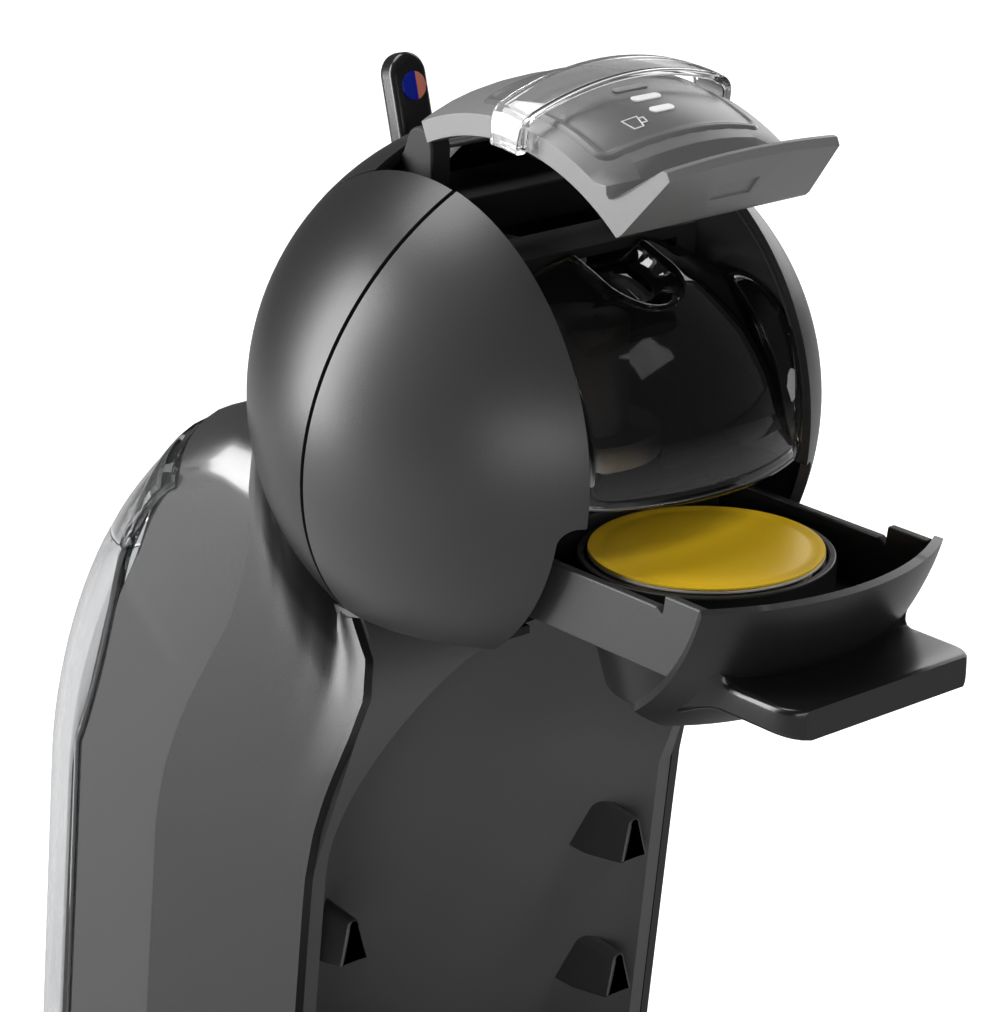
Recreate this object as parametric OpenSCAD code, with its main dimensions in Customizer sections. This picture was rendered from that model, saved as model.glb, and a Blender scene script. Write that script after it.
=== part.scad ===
// Pod coffee machine: a round brewing head on a leaning column, with a tank behind it.
// Origin: on the table under the middle of the machine. +Z up, the front faces -Y.
// Profiles are (y, z) pairs measured from the centre of the round head.

/* [Head] */
// Radius of the round head
head_r = 68; // [66:0.5:70]
// Height of the head's centre above the table
head_z = 234; // [228:1:240]
// Place of the head's centre along Y
head_y = -17; // [-19:1:-15]
// Width of the channel between the two front caps
channel_w = 67.6; // [66:0.2:69]
// Height of the flat underside of the head, below its centre
floor_drop = 45.2; // [44:0.2:46]
// Tilt of the seam between the caps and the side shells
seam_tilt = 12.1; // [10:0.1:14]
// Gap along the seam
seam_gap = 1.2; // [0.8:0.1:1.6]
// Wall of the moulded covers
wall = 2.5; // [2:0.1:2.8]

/* [Body] */
// Width of the body below the head
body_w = 122; // [120:1:126]
// Lean of the column, from upright
lean = 7.5; // [7:0.5:8]
// Radius of the scoop in the front of the column
scoop_r = 67; // [66.5:0.5:68]
// Width of the water tank
tank_w = 120; // [118:1:121]
// Wall of the water tank
tank_wall = 2.2; // [1.8:0.1:2.6]
// Top of the foot above the table
foot_h = 14; // [13:0.5:16]
// Height of the rubber feet
pad_h = 3; // [2:0.5:4]

/* [Locking arm] */
// Angle that the arm stands open
arm_open = 20; // [16:1:22]
// Width of the arm
arm_w = 56; // [52:1:57]
// Radius of the arm's round top, about the head's centre when it is shut
arm_r = 73.2; // [72.8:0.2:73.4]
// Radius of the arm's underside
arm_in = 62.5; // [62.4:0.1:63]
// Diameter of the hinge pin
pin_d = 3; // [2.5:0.5:3.5]

/* [Drawer] */
// How far the pod drawer stands out
drawer_out = 45; // [40:1:50]
// Width of the drawer
drawer_w = 70.4; // [69:0.2:71]
// Diameter of the pod's rim
pod_d = 54; // [53:0.5:55]

/* [Hidden] */
$fn = 64;
eps = 0.01;
gap = 0.3;
big = 400;
pivot = [0, 10, 62];
brew_y = -15.7;
pod_y = brew_y - drawer_out;
pod_top = -21.2;
fascia_y = 0.5 - drawer_out;
half_ch = channel_w / 2;
foot_top = foot_h - head_z;
sole = pad_h - head_z;
neck = [[6, -44], [-17, -56], [4, -88], [13, -115]];
shell_back = [[29, -10], [26, -55], [72, -75], [77, -129]];
tank_back = [[58, -8], [105, -22], [140, -75], [146, -125]];
tank_front = [[69, -16], [90, -26], [88, -66], [111.5, -111]];
function lean_y(y, z, to) = y + (z - to) * tan(lean);
function bezier(p, n) = [for (i = [0:n]) let (t = i / n, s = 1 - t)
    s * s * s * p[0] + 3 * s * s * t * p[1] + 3 * s * t * t * p[2] + t * t * t * p[3]];
// A curve from the head down, then straight along the lean to the foot.
function flank(p, n, low = foot_top) = concat(bezier(p, n), [[lean_y(p[3][0], p[3][1], low), low]]);
function shifted(list, dy, dz) = [for (p = list) [p[0] + dy, p[1] + dz]];
function reversed(list) = [for (i = [len(list) - 1:-1:0]) list[i]];

module at_head() translate([0, head_y, head_z]) children();
// Extrudes a (y, z) profile along X, centred.
module across(w) translate([-w / 2, 0, 0]) rotate([90, 0, 90]) linear_extrude(w) children();
// Turns an (r, x) profile about the X axis from angle a to angle b, forward of upright.
module about_x(a, b) rotate([0, 90, 0]) rotate_extrude(start = 180 + a, angle = b - a) children();
// The body's width narrows towards the head: w is the half width below the bend.
module tapered(w) rotate([90, 0, 0]) translate([0, 0, -260]) linear_extrude(400)
    polygon([[-w, -260], [-w, -120], [-w + 6.4, 40], [w - 6.4, 40], [w, -120], [w, -260]]);
module both_sides() { children(); mirror([1, 0, 0]) children(); }
module box(x0, x1, y0, y1, z0, z1) translate([x0, y0, z0]) cube([x1 - x0, y1 - y0, z1 - z0]);
// A plan outline with round corners.
module round_plan(x, y0, y1, r) translate([-x, y0]) offset(r = r, $fn = 32) offset(delta = -r)
    square([2 * x, y1 - y0]);
module behind_seam(back) rotate([seam_tilt, 0, 0]) translate([-big / 2, back, -big / 2]) cube(big);
module ahead_of_seam(back) rotate([seam_tilt, 0, 0]) translate([-big / 2, back - big, -big / 2]) cube(big);
// The ball that ends the scoop, and its leaning barrel, as one turned solid.
module scoop(r) translate([0, -26, -119]) rotate([lean, 0, 0]) rotate_extrude()
    polygon(concat([[0, -big / 2], [r, -big / 2]], [for (i = [0:12]) r * [cos(i * 7.5), sin(i * 7.5)]]));
// The slot through the neck that the drawer's bowl passes along.
module bowl_slot(r, z0, z1) {
    translate([0, brew_y, z0]) cylinder(r = r, h = z1 - z0);
    box(-r, r, -90, brew_y, z0, z1);
}

// ---- Foot ----
module foot_base() color("#1c1c1e") at_head() difference() {
    translate([0, 0, sole]) linear_extrude(foot_top - sole) round_plan(60, -74, 155, 24);
    translate([0, 0, sole - 1]) linear_extrude(foot_top - sole - wall + 1) round_plan(57.5, -71.5, 152.5, 21.5);
    translate([0, 150, sole + 5.5]) rotate([-90, 0, 0]) cylinder(d = 9, h = 20);
    for (p = hose_holes) translate([p[0], p[1], foot_top - 5]) cylinder(d = 5.6, h = 10);
}
hose_holes = [[0, 139], [-28, 88]];
screw_places = [[-46, -50], [46, -50], [-46, 130], [46, 130]];
module bottom_plate() color("#202022") at_head() difference() {
    translate([0, 0, sole]) linear_extrude(2) round_plan(57.2, -71.2, 152.2, 21.2);
    for (p = screw_places) translate([p[0], p[1], sole - 1]) cylinder(d = 3.4, h = 4);
}
module base_screws() color("silver") at_head() for (p = screw_places) translate([p[0], p[1], sole]) {
    translate([0, 0, -1.2]) cylinder(d = 6, h = 1.2);
    translate([0, 0, -eps]) cylinder(d = 3, h = foot_top - sole - wall);
}
module rubber_feet() color("#101010") at_head()
    for (p = [[-42, -28], [42, -28], [-42, 108], [42, 108]]) translate([p[0], p[1], -head_z])
        cylinder(d = 18, h = pad_h);

// ---- Column and shells ----
module column_front() color("#3c3c3e") at_head() difference() {
    intersection() {
        tapered(body_w / 2 - wall - 0.1);
        column_skin();
    }
    bowl_slot(26.4, -56, -40);
    box(-80, 80, -60, 90, -floor_drop - gap, 0);
}
module column_skin() {
    union() {
        difference() {
            across(body_w - 5.2) polygon(concat(flank(neck, 12), reversed(shifted(flank(neck, 12), wall, 0))));
            scoop(scoop_r);
        }
        intersection() {
            across(body_w - 5.2) polygon(concat(flank(neck, 12), [[80, foot_top], [80, -44]]));
            difference() { scoop(scoop_r + wall); scoop(scoop_r); }
        }
    }
}
module tray_hooks() color("#262628") at_head() intersection() {
    union() for (x = [-46, 46], z = [-134.7, -176]) translate([x, 0, z]) hook(10.7 + (-134.7 - z) * 0.185);
    scoop(scoop_r - 0.05);
}
// A tent-shaped hook, hollow below.
module hook(y) rotate([90, 0, 0]) translate([0, 0, -y - 24]) linear_extrude(24)
    polygon([[-7, -7], [-3.2, 7], [3.2, 7], [7, -7], [4.6, -7], [1.6, 4.4], [-1.6, 4.4], [-4.6, -7]]);
module panel_outline() polygon(concat(flank(neck, 12), reversed(flank(shell_back, 12))));
module side_shell() {
    difference() {
        intersection() {
            difference() { sphere(head_r); sphere(head_r - wall); }
            behind_seam(seam_gap / 2);
            box(-big, -half_ch - gap, -big, 90, -big, big);
        }
        // The ball is left off inside the body.
        intersection() {
            across(body_w) polygon([[-40, -95], [-40, -60], [6, -46], [29, -10], [90, -8], [90, -95]]);
            tapered(body_w / 2);
        }
    }
    difference() {
        intersection() {
            difference() { tapered(body_w / 2); tapered(body_w / 2 - wall); }
            box(-80, 0, -60, 200, foot_top, 0);
            across(body_w + 4) panel_outline();
        }
        sphere(head_r - wall);
        intersection() {
            sphere(head_r + gap);
            ahead_of_seam(seam_gap / 2);
        }
    }
}
module side_shell_left() color("#2a2a2c") at_head() side_shell();
module side_shell_right() color("#2a2a2c") at_head() mirror([1, 0, 0]) side_shell();
// The glossy housing between the side shells and the tank.
module rear_outline() polygon(concat([[29 + gap, -10], [58, -8], [68.4, -11.8]], flank(tank_front, 12),
    reversed(shifted(flank(shell_back, 12), gap, 0))));
module rear_housing() color("#1d1d20") at_head() difference() {
    intersection() {
        tapered(body_w / 2 - 0.2);
        across(body_w) rear_outline();
    }
    intersection() {
        tapered(body_w / 2 - 0.2 - wall);
        across(body_w) polygon(concat([[20, -13], [60, -13]],
            shifted(flank(tank_front, 12, foot_top - 1), -wall, -wall), [[20, foot_top - 1]]));
    }
    sphere(head_r + gap);
    translate([body_w / 2 - 10, 100, -190]) rotate([0, 90, 0]) cylinder(d = 16, h = 20);
}

// ---- Head ----
module head_cap() difference() {
    intersection() {
        sphere(head_r);
        ahead_of_seam(-seam_gap / 2);
        box(-big, -half_ch, -big, big, -floor_drop, big);
    }
    intersection() {
        sphere(head_r - wall);
        box(-big, -half_ch - wall, -big, big, -floor_drop + wall, big);
    }
    box(-39, 0, -80, 40, -floor_drop - 1, -10);
}
module head_cap_left() color("#4a4a4c") at_head() head_cap();
module head_cap_right() color("#4a4a4c") at_head() mirror([1, 0, 0]) head_cap();
module head_floor() color("#1a1a1c") at_head() difference() {
    box(-38.7, 38.7, -30, 32, -floor_drop, -floor_drop + 2);
    bowl_slot(26.4, -50, -40);
}
module top_cover() color("#242426") at_head() difference() {
    intersection() {
        difference() { sphere(head_r); sphere(head_r - wall); }
        box(-half_ch, half_ch, 17, 90, -9, big);
    }
    across(body_w) polygon([[50, -40], [58 - gap, -8 + gap], [29, -10 + gap], [20, -40]]);
    box(-11, 11, 38.5, 50, 30, 70);
    box(-half_ch - 1, half_ch + 1, 50, 90, -30, -8 + gap);
}
module visor() color([0.2, 0.2, 0.22, 0.6]) at_head() difference() {
    intersection() {
        union() {
            intersection() {
                difference() { sphere(61.7); sphere(59.7); }
                across(big) polygon([[0, 0], [-90, 0], [-90, 90], [-30, 53]]);
                box(-60, 60, -90, 0, 6, 90);
            }
            intersection() {
                difference() { sphere(67); sphere(65); }
                box(-60, 60, -90, -20, -7, 8);
            }
            intersection() {
                difference() { sphere(66); sphere(60.5); }
                box(-60, 60, -90, -20, 6, 8);
            }
        }
        box(-half_ch + gap, half_ch - gap, -90, 0, -7, 90);
    }
    pocket_axis() cylinder(r = 9, h = 90);
}
// Points along the line from the head's centre through the latch pocket.
module pocket_axis() rotate([37.9, 0, 0]) children();
module latch_pocket() color("#29292b") at_head() intersection() {
    pocket_axis() difference() {
        translate([0, 0, 49]) cylinder(r = 8.7, h = 20);
        translate([0, 0, 51]) cylinder(r = 7, h = 20);
    }
    sphere(61.4);
}
module hinge_block() color("#161617") at_head() difference() {
    union() {
        both_sides() {
            translate([20.6, pivot[1], pivot[2]]) rotate([0, 90, 0]) cylinder(r = 4.5, h = 5.4);
            box(20.6, 26, pivot[1] - 4.5, pivot[1] + 4.5, 40, pivot[2]);
        }
        box(-26, 26, pivot[1] - 4.5, 28, 40, 49);
    }
    translate([-40, pivot[1], pivot[2]]) rotate([0, 90, 0]) cylinder(d = pin_d, h = 80);
}
module hinge_pin() color("silver") at_head() translate([-26, pivot[1], pivot[2]]) rotate([0, 90, 0])
    cylinder(d = pin_d, h = 52);
module drawer_rails() color("#1b1b1d") at_head() both_sides()
    box(35.6, 38.4, -30, 24, -floor_drop + 2, -14);
module brew_frame() color("#2b2b2e") at_head() difference() {
    union() {
        box(-38.4, 38.4, -30, 24, -14, -11);
        both_sides() box(23, 29, -24, -8, -11, 42);
        box(-29, 29, -24, -8, 39.5, 42);
    }
    translate([0, brew_y, -20]) cylinder(r = 20, h = 20);
}
module injector() color("#8d8f94") at_head() translate([0, brew_y, 0]) difference() {
    union() {
        translate([0, 0, -9.5]) cylinder(r = 19.4, h = 6);
        translate([0, 0, -3.5]) cylinder(r = 12, h = 26);
    }
    translate([0, 0, -12]) cylinder(d = 2.4, h = 16);
}
module needle() color("silver") at_head() translate([0, brew_y, 0]) {
    translate([0, 0, -12.4]) cylinder(d = 2.4, h = 16.4);
    translate([0, 0, -13.8]) cylinder(d1 = 0.6, d2 = 2.4, h = 1.4);
}

// ---- Water circuit ----
// A tube through a list of points, with a ball at each bend.
module tube(points, d) {
    for (i = [0:len(points) - 2]) let (a = points[i], v = points[i + 1] - a, l = norm(v))
        translate(a) rotate([0, acos(v[2] / l), atan2(v[1], v[0])]) cylinder(d = d, h = l);
    for (i = [1:len(points) - 2]) translate(points[i]) sphere(d = d + 0.8);
}
module brew_hose() color("#d8d8d4") at_head()
    tube([[36, 73, -98], [34, 68, -60], [14, 48, -20], [4, 22, 10], [0, 14, 34], [0, brew_y, 36]], 5);
module thermoblock() color("#b9bbbe") at_head() translate([28, 79, -97]) rotate([lean, 0, 0])
    translate([0, 0, -66]) cylinder(r = 21, h = 62);
module pump() color("#6c6258") at_head() translate([-28, 88, -148]) {
    translate([0, 0, -44]) cylinder(r = 13, h = 88);
    translate([-17, -17, -26]) cube([34, 34, 52]);
}
module pump_mounts() color("#151515") at_head() translate([-28, 88, -148]) {
    for (z = [-30, 26.5]) translate([0, 0, z]) difference() {
        cylinder(r = 18, h = 3.5);
        translate([0, 0, -1]) cylinder(r = 13.1, h = 6);
    }
}
module pump_hose() color("#d8d8d4") at_head()
    tube([[-28, 88, -101], [0, 80, -84], [18, 87, -95]], 5);
module inlet_hose() color("#d8d8d4") at_head()
    tube([[0, 139, foot_top - 0.5], [0, 139, foot_top - 6], [-28, 88, foot_top - 6], [-28, 88, -192.5]], 5);
module control_board() color("#1f5b35") at_head() translate([0, 58, -45]) rotate([-25, 0, 0]) {
    translate([-40, 0, -42]) cube([30, 1.6, 40]);
    translate([-36, 1.6, -30]) cube([12, 8, 14]);
    translate([-20, 1.6, -36]) cube([6, 6, 6]);
}
module selector_valve() color("#34465c") at_head() difference() {
    union() {
        box(-12, 12, 26, 38, 22, 39.5);
        translate([0, 32, 15]) cylinder(r = 4, h = 8);
    }
    translate([0, 25, 32]) rotate([-90, 0, 0]) cylinder(d = 6.12, h = 20);
}
module tank_seat() color("#202024") at_head() translate([0, 139, foot_top]) difference() {
    cylinder(r = 7, h = 8);
    translate([0, 0, -1]) cylinder(r = 3, h = 12);
}
module tank_seal() color("#7a2c22") at_head() translate([0, 139, foot_top + 4.5]) rotate_extrude()
    translate([7.2, 0]) square([1.2, 2.2]);
module cord_gland() color("#111112") at_head() translate([0, 152.6, sole + 5.5]) rotate([-90, 0, 0]) difference() {
    union() {
        cylinder(d = 8.8, h = 5.4);
        translate([0, 0, 2.4]) cylinder(d = 10.6, h = 3);
    }
    translate([0, 0, -1]) cylinder(d = 6, h = 14);
}
module power_button() color("#c8c8cc") at_head() translate([body_w / 2 - 4, 100, -190]) rotate([0, 90, 0])
    cylinder(d = 15.2, h = 4.8);

// ---- Locking arm, drawn shut and then opened ----
module opened() translate(pivot) rotate([-arm_open, 0, 0]) translate(-pivot) children();
function arc_pts(r, a, b, n) = [for (i = [0:n]) let (t = a + (b - a) * i / n) [-r * sin(t), r * cos(t)]];
// The arm's side view: its band, then the paddle at its front.
module arm_band() polygon(concat(arc_pts(arm_r + 1, -4, 49.5, 14), [[-53.9, 40.1], [-53.9, 32.4]],
    arc_pts(arm_in, 59, -4, 16)));
module arm_paddle() polygon([[-51.4, 42.4], [-52.6, 40.6], [-53.4, 40.1], [-70.8, 44.6], [-71.6, 43.6],
    [-71, 41], [-55, 32.6], [-53.9, 32.4], [-50.8, 38]]);
module locking_arm() color("#77777a") at_head() opened() difference() {
    union() {
        intersection() {
            across(arm_w) arm_band();
            sphere(arm_r);
        }
        intersection() {
            across(arm_w) arm_paddle();
            // The paddle narrows to its tip.
            translate([0, 0, -50]) linear_extrude(big) polygon([[-28, 30], [28, 30], [28, -60], [21, -80],
                [-21, -80], [-28, -60]]);
        }
        translate([-20, pivot[1], pivot[2]]) rotate([0, 90, 0]) cylinder(r = 4.2, h = 40);
        box(-20, 20, 3, 10, 62.6, 66);
    }
    translate([-40, pivot[1], pivot[2]]) rotate([0, 90, 0]) cylinder(d = pin_d + 0.1, h = 80);
    across(20) polygon([[-62, 36], [-66, 38], [-64, 41], [-60.6, 39.4]]);
}
// A round cap on the arm's top, from angle a to angle b and no wider than w.
module on_arm(low, high, a, b, w) intersection() {
    difference() { sphere(arm_r + high); sphere(arm_r + low); }
    about_x(a, b) translate([40, -w / 2]) square([60, w]);
}
module arm_panel() color("#88888a") at_head() opened() on_arm(0, 0.8, 10, 46, 49);
module light_bars() color("white") at_head() opened() for (i = [0:2])
    on_arm(0.8, 1.15, 28.5 + 4.3 * i, 30.3 + 4.3 * i, 11 - 2 * i);
module arm_latch() color("#9a9a9c") at_head() opened() pocket_axis()
    translate([-4, -1.5, 55]) cube([8, 3, arm_in - 55 - 0.12]);
function crown(r, half) = [for (i = [-8:8]) let (x = i * half / 8) [sqrt(r * r - x * x), x]];
module volume_collar() color([0.9, 0.92, 0.95, 0.4]) at_head() opened() about_x(21, 30)
    polygon(concat([[62.4, -31.8]], crown(77.6, 31.8), [[62.4, 31.8], [62.4, 28.5]],
        reversed(crown(74.6, 28.5)), [[62.4, -28.5]]));

// ---- Lever ----
module temperature_lever() color("#151516") at_head() {
    translate([0, 41, 32]) rotate([-90, 0, 0]) {
        cylinder(r = 6.5, h = 7);
        translate([0, 0, -14]) cylinder(d = 6, h = 15);
    }
    box(-5.25, 5.25, 41, 48, 32, 69);
    translate([0, 41, 69]) rotate([-90, 0, 0]) cylinder(r = 5.25, h = 7);
}
module lever_badge() color("#1e3c96") at_head() translate([0, 40.4, 66]) rotate([-90, 0, 0])
    cylinder(d = 7, h = 0.6);

// ---- Drawer and pod ----
module bowl_cone(r1, r0, z0, z1) translate([0, pod_y, z0]) cylinder(r1 = r0, r2 = r1, h = z1 - z0);
module pod_drawer() color("#1d1d1f") at_head() difference() {
    intersection() {
        union() {
            both_sides() {
                box(33, drawer_w / 2, -104, -28, -36, -20.4);
                box(33, drawer_w / 2, -104, -85.2, -36, -17.2);
            }
            box(-drawer_w / 2, drawer_w / 2, -30, -28, -36, -20.4);
            box(-drawer_w / 2, drawer_w / 2, -104, -28, -36, -34);
            translate([0, pod_y, -34.5]) cylinder(r = 29.5, h = -22.4 + 34.5);
            bowl_cone(27.4, 22.6, -54, -34);
        }
        union() {
            translate([0, fascia_y, 0]) sphere(head_r - 3.1);
            box(-60, 60, -60, 0, -60, 0);
        }
    }
    bowl_cone(25.4, 20.6, -52, -22);
    translate([0, pod_y, -60]) cylinder(r = 5, h = 20);
}
module drawer_fascia() color("#1a1a1b") at_head() intersection() {
    translate([0, fascia_y, 0]) difference() { sphere(head_r); sphere(head_r - 3); }
    box(-37, 37, -130, -78, -52, -17.2);
}
module drawer_handle() color("#121213") at_head() difference() {
    intersection() {
        box(-28, 28, -130, -90, -43, -36);
        translate([0, -64, -50]) cylinder(r = 60, h = 20);
    }
    translate([0, fascia_y, 0]) sphere(head_r + 0.05);
}
module pod_cup() color("#e8e2d4") at_head() translate([0, pod_y, 0]) difference() {
    union() {
        translate([0, 0, pod_top - 1.2]) cylinder(d = pod_d, h = 0.7);
        translate([0, 0, -51]) cylinder(r1 = 20, r2 = 24.8, h = 51 + pod_top - 0.6);
    }
    translate([0, 0, -50]) cylinder(r1 = 19, r2 = 23.8, h = 51 + pod_top);
}
module pod_lid() color("#deaa1e") at_head() translate([0, pod_y, pod_top - 0.5]) cylinder(d = pod_d - 1, h = 0.5);

// ---- Tray ----
module drip_tray() color("#1b1b1d") at_head() difference() {
    translate([0, 0, foot_top + gap]) linear_extrude(21) round_plan(50, -68, 22, 18);
    translate([0, 0, foot_top + 2.5]) linear_extrude(21) round_plan(47.5, -65.5, 19.5, 15.5);
}
module cup_grid() color("#a5a7aa") at_head() difference() {
    translate([0, 0, foot_top + 16]) linear_extrude(3) round_plan(47.2, -65.2, 19.2, 15.2);
    for (i = [-5:5]) box(i * 8 - 1.6, i * 8 + 1.6, -54, 8, foot_top + 10, foot_top + 30);
}

// ---- Tank ----
module tank_body(inset, low, high) intersection() {
    across(tank_w - 2 * inset) offset(delta = -inset) polygon(concat(
        shifted(flank(tank_front, 12, foot_top + gap), 0.6, 0), reversed(flank(tank_back, 12, foot_top + gap))));
    rotate([lean, 0, 0]) translate([0, 0, -300]) linear_extrude(400)
        round_plan(tank_w / 2 - inset, 0, 127.7 - inset, 30 - inset);
    box(-80, 80, head_r + 1, 200, low, high);
    tapered(tank_w / 2 - inset);
}
module water_tank() color([0.85, 0.9, 0.95, 0.35]) at_head() difference() {
    tank_body(0, -230, -52);
    tank_body(tank_wall, -216, 0);
    translate([0, 139, -230]) cylinder(r = 8.6, h = 20);
}
module tank_lid() color([0.3, 0.32, 0.35, 0.5]) at_head() difference() {
    tank_body(0, -51.7, 20);
    tank_body(tank_wall, -70, 20);
}
module tank_valve() color("#d0d0d0") at_head() translate([0, 139, 0]) {
    translate([0, 0, foot_top + 8.6]) cylinder(r = 8, h = 2);
    translate([0, 0, foot_top + 10]) cylinder(r = 2, h = 14);
}

foot_base();
bottom_plate();
rubber_feet();
base_screws();
column_front();
tray_hooks();
side_shell_left();
side_shell_right();
rear_housing();
head_cap_left();
head_cap_right();
head_floor();
top_cover();
visor();
latch_pocket();
hinge_block();
hinge_pin();
drawer_rails();
brew_frame();
injector();
needle();
brew_hose();
thermoblock();
pump();
pump_mounts();
pump_hose();
inlet_hose();
control_board();
selector_valve();
tank_seat();
tank_seal();
cord_gland();
power_button();
locking_arm();
arm_panel();
light_bars();
arm_latch();
volume_collar();
temperature_lever();
lever_badge();
pod_drawer();
drawer_fascia();
drawer_handle();
pod_cup();
pod_lid();
drip_tray();
cup_grid();
water_tank();
tank_lid();
tank_valve();
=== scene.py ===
# Pod coffee machine: the looks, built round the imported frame.
import math

import bmesh
import bpy
from mathutils import Matrix, Vector


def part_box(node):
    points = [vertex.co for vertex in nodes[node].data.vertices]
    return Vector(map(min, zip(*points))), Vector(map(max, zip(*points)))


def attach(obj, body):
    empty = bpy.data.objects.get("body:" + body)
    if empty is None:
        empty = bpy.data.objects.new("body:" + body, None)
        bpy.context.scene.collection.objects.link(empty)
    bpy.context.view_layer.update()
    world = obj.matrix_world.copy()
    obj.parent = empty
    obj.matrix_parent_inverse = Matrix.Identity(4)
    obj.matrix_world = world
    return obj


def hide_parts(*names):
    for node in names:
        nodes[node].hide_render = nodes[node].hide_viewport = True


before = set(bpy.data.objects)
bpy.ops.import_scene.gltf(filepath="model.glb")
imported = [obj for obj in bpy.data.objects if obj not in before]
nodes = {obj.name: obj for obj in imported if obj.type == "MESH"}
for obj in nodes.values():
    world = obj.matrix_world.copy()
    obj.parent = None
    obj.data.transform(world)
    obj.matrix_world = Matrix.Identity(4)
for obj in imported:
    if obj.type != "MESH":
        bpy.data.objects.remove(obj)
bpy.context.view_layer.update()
print("frame loaded:", len(nodes), "nodes")

# Shapes are drawn in millimetres from the centre of the round head.
capLow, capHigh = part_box("head_cap_left")
head = {"radius": -capLow[0] * 1000, "channel": -capHigh[0] * 1000, "floor": -45.2, "seamTilt": 12.1,
        "seamGap": 1.2}
head["y"] = capLow[1] * 1000 + math.sqrt(head["radius"] ** 2 - head["channel"] ** 2)
head["z"] = capLow[2] * 1000 - head["floor"]
lean = math.radians(7.5)
footTop = 14 - head["z"]
armHinge = Vector((0, 10, 62))
armOpen = math.radians(-20)


# Camera, light and floor
def makeCamera():
    view = {"turn": -39.61, "drop": 19.82, "lens": 124.5, "place": (-0.51084, -0.6193, 0.4902)}
    data = bpy.data.cameras.new("camera")
    data.lens = view["lens"]
    data.sensor_width = 36
    data.clip_end = 20
    camera = bpy.data.objects.new("camera", data)
    camera.location = view["place"]
    camera.rotation_euler = (math.radians(90 - view["drop"]), 0, math.radians(view["turn"]))
    bpy.context.collection.objects.link(camera)
    bpy.context.scene.camera = camera


def makeLight(name, place, aim, size, power):
    data = bpy.data.lights.new(name, "AREA")
    data.shape = "RECTANGLE"
    data.size, data.size_y = size
    data.energy = power
    lamp = bpy.data.objects.new(name, data)
    lamp.location = place
    lamp.rotation_euler = (Vector(aim) - Vector(place)).to_track_quat("-Z", "Y").to_euler()
    bpy.context.collection.objects.link(lamp)
    return lamp


def makeStudio():
    bpy.context.scene.view_settings.view_transform = "Standard"
    world = bpy.data.worlds.new("studio")
    bpy.context.scene.world = world
    world.use_nodes = True
    tree = world.node_tree
    path = tree.nodes.new("ShaderNodeLightPath")
    seen = tree.nodes.new("ShaderNodeMath")
    seen.operation = "MAXIMUM"
    mix = tree.nodes.new("ShaderNodeMix")
    mix.data_type = "RGBA"
    mix.inputs["A"].default_value = (0.07, 0.07, 0.072, 1)
    mix.inputs["B"].default_value = (1, 1, 1, 1)
    tree.links.new(path.outputs["Is Camera Ray"], seen.inputs[0])
    tree.links.new(path.outputs["Is Transmission Ray"], seen.inputs[1])
    tree.links.new(seen.outputs[0], mix.inputs["Factor"])
    tree.links.new(mix.outputs["Result"], tree.nodes["Background"].inputs["Color"])
    bm = bmesh.new()
    bmesh.ops.create_grid(bm, x_segments=1, y_segments=1, size=6)
    floor = bpy.data.objects.new("floor", bpy.data.meshes.new("floor"))
    bm.to_mesh(floor.data)
    bm.free()
    bpy.context.collection.objects.link(floor)
    paint = bpy.data.materials.new("floorWhite")
    paint.use_nodes = True
    shader = paint.node_tree.nodes["Principled BSDF"]
    shader.inputs["Base Color"].default_value = (0.45, 0.45, 0.45, 1)
    shader.inputs["Roughness"].default_value = 0.9
    shader.inputs["Emission Color"].default_value = (1, 1, 1, 1)
    eye = paint.node_tree.nodes.new("ShaderNodeLightPath")
    glow = mathNode(paint.node_tree, "MULTIPLY_ADD", eye.outputs["Is Camera Ray"], 0.95, 0.08)
    paint.node_tree.links.new(glow, shader.inputs["Emission Strength"])
    floor.data.materials.append(paint)
    aim = (0, 0, 0.22)
    makeLight("keyLeft", (-0.95, 0.85, 0.50), aim, (0.5, 1.2), 26)
    makeLight("topSoft", (-0.1, 0.55, 1.4), aim, (1.0, 0.6), 12)
    makeLight("rimRight", (1.1, 0.5, 0.6), aim, (0.5, 1.0), 3.5)
    makeLight("frontLow", (-1.0, -1.3, 0.2), (0, 0, 0.15), (1.1, 0.5), 7)
    frontTop = makeLight("frontTop", (0.35, -0.75, 1.05), aim, (0.4, 0.4), 5)
    frontTop.visible_glossy = False


# Mesh tools
def finishMesh(bm):
    # Millimetres round the head's centre become metres in the frame.
    bmesh.ops.scale(bm, verts=bm.verts, vec=(0.001, 0.001, 0.001))
    bmesh.ops.translate(bm, verts=bm.verts, vec=(0, head["y"] / 1000, head["z"] / 1000))


def makePiece(bm, name, material, body, replaces=(), bevel=0.0, segments=3, wall=0.0, angle=30,
              merge=0.002):
    bmesh.ops.remove_doubles(bm, verts=bm.verts, dist=merge)
    bmesh.ops.dissolve_degenerate(bm, edges=bm.edges, dist=merge)
    bmesh.ops.recalc_face_normals(bm, faces=bm.faces)
    finishMesh(bm)
    for face in bm.faces:
        face.smooth = True
    if not bevel:
        for edge in bm.edges:
            if len(edge.link_faces) == 2:
                edge.smooth = edge.calc_face_angle(0) < math.radians(angle)
    mesh = bpy.data.meshes.new(name)
    bm.to_mesh(mesh)
    bm.free()
    piece = bpy.data.objects.new(name, mesh)
    bpy.context.collection.objects.link(piece)
    if wall:
        solid = piece.modifiers.new("wall", "SOLIDIFY")
        solid.thickness = wall / 1000
        solid.offset = -1
    if bevel:
        soft = piece.modifiers.new("soft edges", "BEVEL")
        soft.width = bevel / 1000
        soft.segments = segments
        soft.limit_method = "ANGLE"
        soft.angle_limit = math.radians(angle)
        soft.harden_normals = True
    mesh.materials.append(material)
    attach(piece, body)
    if replaces:
        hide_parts(*replaces)
    return piece


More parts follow.
